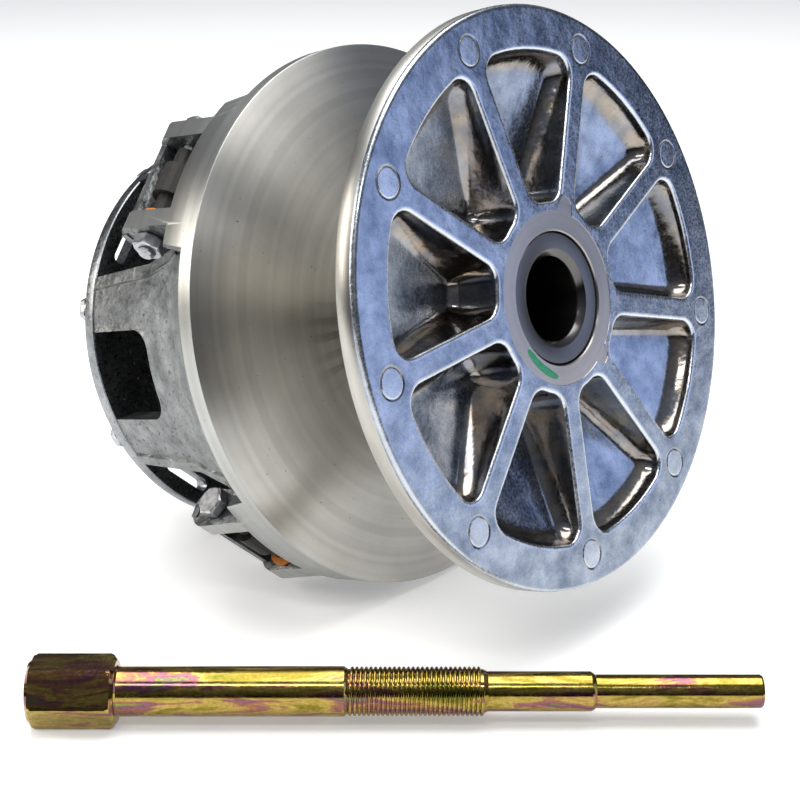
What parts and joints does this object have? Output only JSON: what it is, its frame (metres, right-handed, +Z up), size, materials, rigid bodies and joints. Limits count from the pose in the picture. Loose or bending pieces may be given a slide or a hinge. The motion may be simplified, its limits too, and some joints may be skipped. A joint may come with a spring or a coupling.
{
  "type": "drive clutch with puller bolt",
  "caption": "Belt-drive primary clutch with a ribbed fixed sheave, a sliding cone sheave with towers, flyweights and cover, and a hex-head stepped puller bolt lying beside it.",
  "frame": {"origin": "centre of the overall box, on the surface that the clutch and the puller bolt lie on", "axes": "+Z up from that surface. The clutch lies on the rims of its movable sheave and its cover, so its crankshaft axis is in the XZ plane, pitched 15.77 degrees up towards +X, with the ribbed outer face at the +X end. The puller bolt lies level, turned 40.5 degrees from +X towards +Y."},
  "size_m": [0.2856, 0.2792, 0.214],
  "materials": {
    "cast_aluminium": "as-cast skin, satin",
    "turned_aluminium": "turned, satin",
    "polished_steel": "bright machined",
    "spider_iron": "cast, dark",
    "sintered_steel": "sintered, matte",
    "bush_bronze": "plain bearing",
    "button_plastic": "moulded",
    "orange_washer": "moulded",
    "spring_steel": "oiled",
    "yellow_zinc": "yellow chromated zinc"
  },
  "bodies": {
    "fixed": {"fixed_sheave": "cast_aluminium", "post_shaft": "polished_steel", "spider": "spider_iron", "spider_nut": "polished_steel", "drive_spring": "spring_steel", "roller_pin_1": "polished_steel", "roller_pin_2": "polished_steel", "roller_pin_3": "polished_steel", "roller_pin_4": "polished_steel", "guide_button_1": "button_plastic", "guide_button_2": "button_plastic", "guide_button_3": "button_plastic", "guide_button_4": "button_plastic", "guide_button_5": "button_plastic", "guide_button_6": "button_plastic", "guide_button_7": "button_plastic", "guide_button_8": "button_plastic"},
    "moving": {"moving_sheave": "turned_aluminium", "sheave_bush": "bush_bronze", "cover": "cast_aluminium", "cover_bush": "bush_bronze", "cover_screw_1": "polished_steel", "cover_screw_2": "polished_steel", "cover_screw_3": "polished_steel", "cover_screw_4": "polished_steel", "cover_screw_5": "polished_steel", "cover_screw_6": "polished_steel", "cover_screw_7": "polished_steel", "cover_screw_8": "polished_steel", "weight_bolt_1": "polished_steel", "weight_bolt_2": "polished_steel", "weight_bolt_3": "polished_steel", "weight_bolt_4": "polished_steel", "weight_nut_1": "polished_steel", "weight_nut_2": "polished_steel", "weight_nut_3": "polished_steel", "weight_nut_4": "polished_steel", "weight_washer_1": "orange_washer", "weight_washer_2": "orange_washer", "weight_washer_3": "orange_washer", "weight_washer_4": "orange_washer"},
    "flyweight_1": {"flyweight_1": "sintered_steel", "flyweight_bush_1": "bush_bronze"},
    "roller_1": {"roller_1": "polished_steel", "roller_bush_1": "bush_bronze"},
    "flyweight_2": {"flyweight_2": "sintered_steel", "flyweight_bush_2": "bush_bronze"},
    "roller_2": {"roller_2": "polished_steel", "roller_bush_2": "bush_bronze"},
    "flyweight_3": {"flyweight_3": "sintered_steel", "flyweight_bush_3": "bush_bronze"},
    "roller_3": {"roller_3": "polished_steel", "roller_bush_3": "bush_bronze"},
    "flyweight_4": {"flyweight_4": "sintered_steel", "flyweight_bush_4": "bush_bronze"},
    "roller_4": {"roller_4": "polished_steel", "roller_bush_4": "bush_bronze"},
    "puller": {"puller_bolt": "yellow_zinc"}
  },
  "joints": [
    {"name": "shift_slide", "type": "slide", "parent": "fixed", "child": "moving", "axis": [0.9624, 0, 0.2718], "range_m": [0, 0.025], "stiffness_N_per_m": 15000, "springref_m": -0.014, "deforming": ["drive_spring"]},
    {"name": "flyweight_swing_1", "type": "hinge", "parent": "moving", "child": "flyweight_1", "pos_m": [-0.07706, 0.10348, 0.15196], "axis": [0.1903, 0.7139, -0.6739], "range_deg": [0, 42.2]},
    {"name": "roller_spin_1", "type": "hinge", "parent": "fixed", "child": "roller_1", "pos_m": [-0.07933, 0.08247, 0.12907], "axis": [-0.1903, -0.7139, 0.6739], "continuous": true},
    {"name": "flyweight_swing_2", "type": "hinge", "parent": "moving", "child": "flyweight_2", "pos_m": [-0.07673, -0.02521, 0.15077], "axis": [-0.194, 0.7003, 0.687], "range_deg": [0, 42.2]},
    {"name": "roller_spin_2", "type": "hinge", "parent": "fixed", "child": "roller_2", "pos_m": [-0.0791, -0.00379, 0.12827], "axis": [0.194, -0.7003, -0.687], "continuous": true},
    {"name": "flyweight_swing_3", "type": "hinge", "parent": "moving", "child": "flyweight_3", "pos_m": [-0.04175, -0.02397, 0.02693], "axis": [-0.1903, -0.7139, 0.6739], "range_deg": [0, 42.2]},
    {"name": "roller_spin_3", "type": "hinge", "parent": "fixed", "child": "roller_3", "pos_m": [-0.05565, -0.00297, 0.04525], "axis": [0.1903, 0.7139, -0.6739], "continuous": true},
    {"name": "flyweight_swing_4", "type": "hinge", "parent": "moving", "child": "flyweight_4", "pos_m": [-0.04208, 0.10471, 0.02812], "axis": [0.194, -0.7003, -0.687], "range_deg": [0, 42.2]},
    {"name": "roller_spin_4", "type": "hinge", "parent": "fixed", "child": "roller_4", "pos_m": [-0.05588, 0.0833, 0.04605], "axis": [-0.194, 0.7003, 0.687], "continuous": true},
    {"name": "puller_lift", "type": "slide", "parent": "fixed", "child": "puller", "axis": [0.4592, -0.5377, 0.7071], "range_m": [0, 0.12]}
  ],
  "couplings": [
    {"joint": "flyweight_swing_1", "follows": "shift_slide", "rad_per_m": 29.322},
    {"joint": "flyweight_swing_2", "follows": "shift_slide", "rad_per_m": 29.322},
    {"joint": "flyweight_swing_3", "follows": "shift_slide", "rad_per_m": 29.322},
    {"joint": "flyweight_swing_4", "follows": "shift_slide", "rad_per_m": 29.322}
  ]
}
